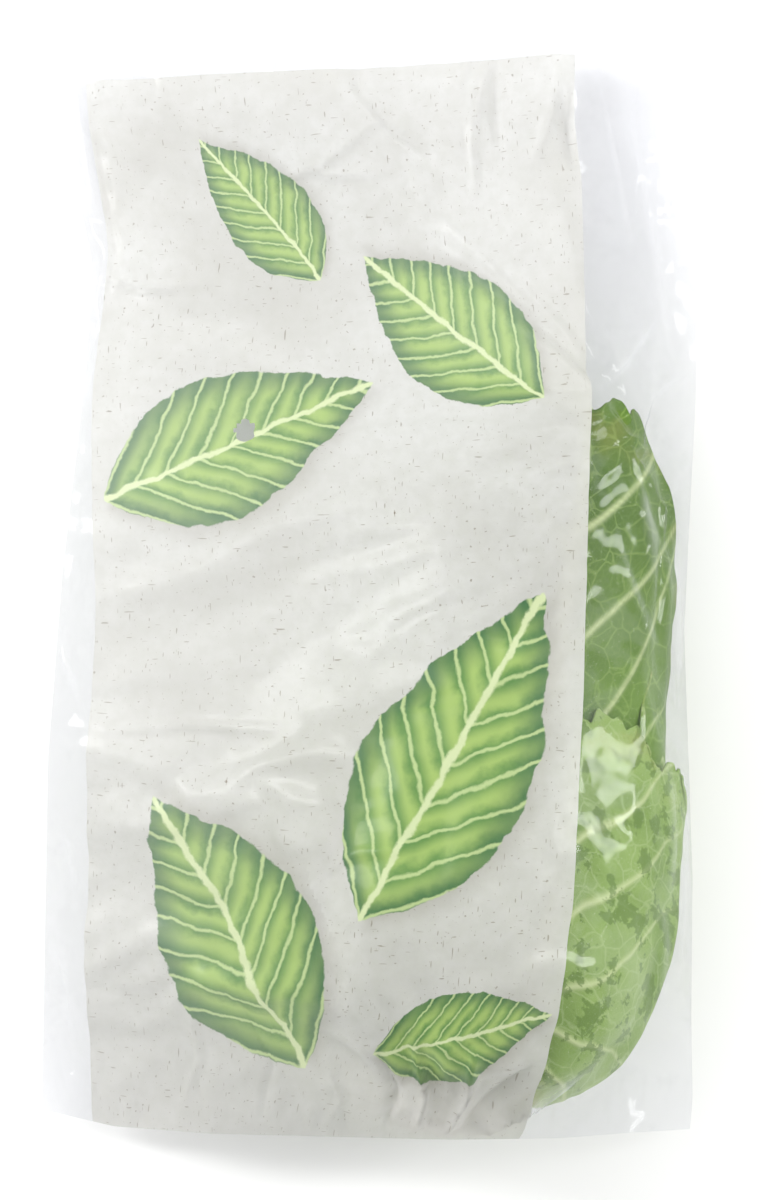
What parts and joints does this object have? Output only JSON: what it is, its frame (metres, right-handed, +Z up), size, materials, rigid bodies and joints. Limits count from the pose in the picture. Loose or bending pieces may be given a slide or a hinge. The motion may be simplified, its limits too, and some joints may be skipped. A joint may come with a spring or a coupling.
{
  "type": "bagged pointed cabbage",
  "caption": "Whole pointed cabbage lying on its side in a sealed clear film bag with a plain printed panel on the front; it rests flat on the back film.",
  "frame": {"origin": "middle of the bag seen from above, on the surface it lies on", "axes": "+Z up, +Y along the bag from the stem end of the cabbage towards its tip, +X to the right seen from above"},
  "size_m": [0.2088, 0.3526, 0.1029],
  "materials": {
    "printed_film": "satin",
    "clear_film": "gloss",
    "leaf": "satin",
    "head_leaf": "satin",
    "cut_stem": "matte"
  },
  "bodies": {
    "root": {"bag_front_web": "printed_film", "bag_back_web": "clear_film", "wrapper_leaf_1": "leaf", "wrapper_leaf_2": "leaf", "wrapper_leaf_3": "leaf", "wrapper_leaf_4": "leaf", "wrapper_leaf_5": "leaf", "wrapper_leaf_6": "leaf", "wrapper_leaf_7": "leaf", "wrapper_leaf_8": "leaf", "inner_head": "head_leaf", "stem_stump": "cut_stem"}
  },
  "joints": []
}
